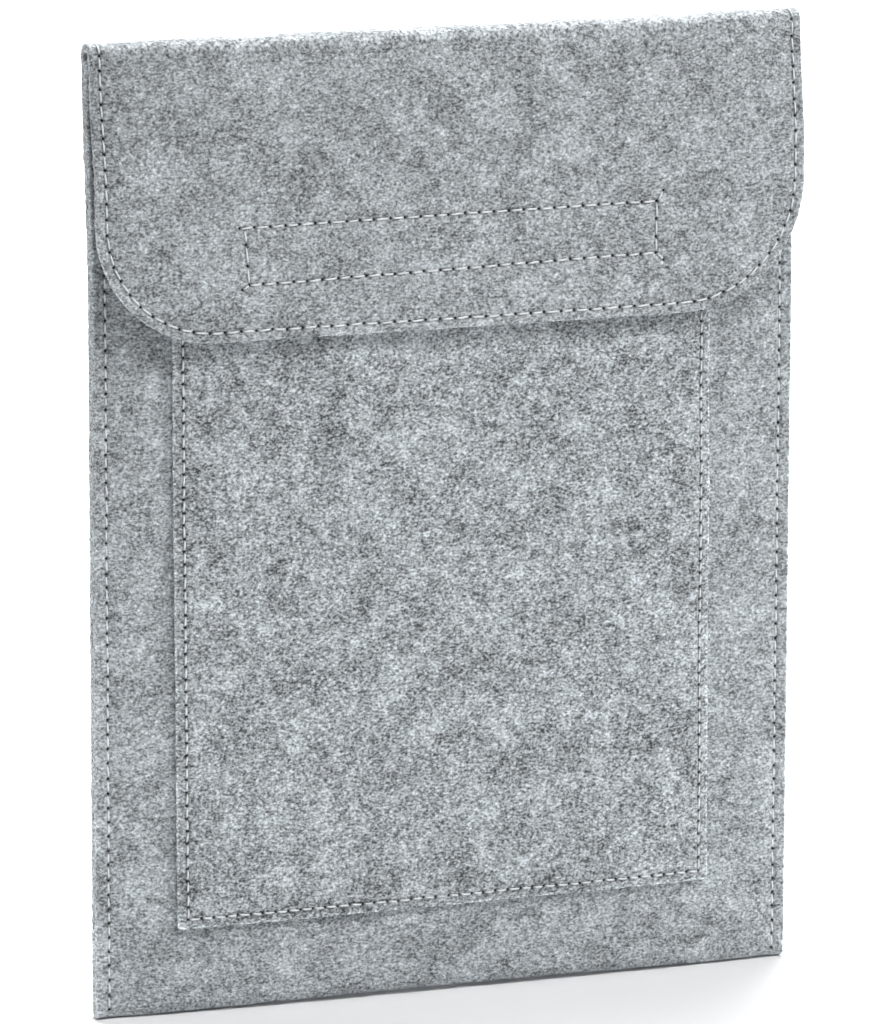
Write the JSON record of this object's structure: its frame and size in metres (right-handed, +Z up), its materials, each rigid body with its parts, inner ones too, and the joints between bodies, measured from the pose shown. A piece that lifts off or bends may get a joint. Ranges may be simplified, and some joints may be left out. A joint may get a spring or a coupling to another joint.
{
  "type": "laptop sleeve",
  "caption": "Upright felt laptop sleeve with a fold-over flap, hook-and-loop closure and a flat patch pocket sewn on the front.",
  "frame": {"origin": "bottom centre of the closed sleeve, in the middle of the line that it stands on", "axes": "+Z up to the top fold, -Y out of the front with the flap and pocket, X across the sleeve"},
  "size_m": [0.2604, 0.0199, 0.3444],
  "materials": {
    "felt": "melange needle felt, matt",
    "hook_tape": "woven nylon tape with stiff hooks",
    "loop_tape": "woven nylon tape with soft loops",
    "thread": "polyester sewing thread, slight sheen"
  },
  "bodies": {
    "root": {"back_panel": "felt", "bottom_fold": "felt", "front_panel": "felt", "pocket_panel": "felt", "loop_strip": "loop_tape", "left_seam_needle_thread": "thread", "left_seam_bobbin_thread": "thread", "right_seam_needle_thread": "thread", "right_seam_bobbin_thread": "thread", "pocket_seam_needle_thread": "thread", "pocket_seam_bobbin_thread": "thread", "loop_strip_needle_thread": "thread", "loop_strip_bobbin_thread": "thread"},
    "fold": {"top_fold": "felt", "fold_edge_needle_thread": "thread", "fold_edge_bobbin_thread": "thread"},
    "flap": {"flap_panel": "felt", "hook_strip": "hook_tape", "flap_edge_needle_thread": "thread", "flap_edge_bobbin_thread": "thread", "hook_strip_needle_thread": "thread", "hook_strip_bobbin_thread": "thread"}
  },
  "joints": [
    {"name": "fold_roll", "type": "hinge", "parent": "root", "child": "fold", "pos_m": [0, 0.00663, 0.341], "axis": [-1, 0, 0], "range_deg": [0, 90]},
    {"name": "flap_swing", "type": "hinge", "parent": "fold", "child": "flap", "pos_m": [0, -0.00297, 0.341], "axis": [-1, 0, 0], "range_deg": [0, 90]}
  ],
  "couplings": [
    {"joint": "flap_swing", "follows": "fold_roll", "ratio": 1}
  ]
}
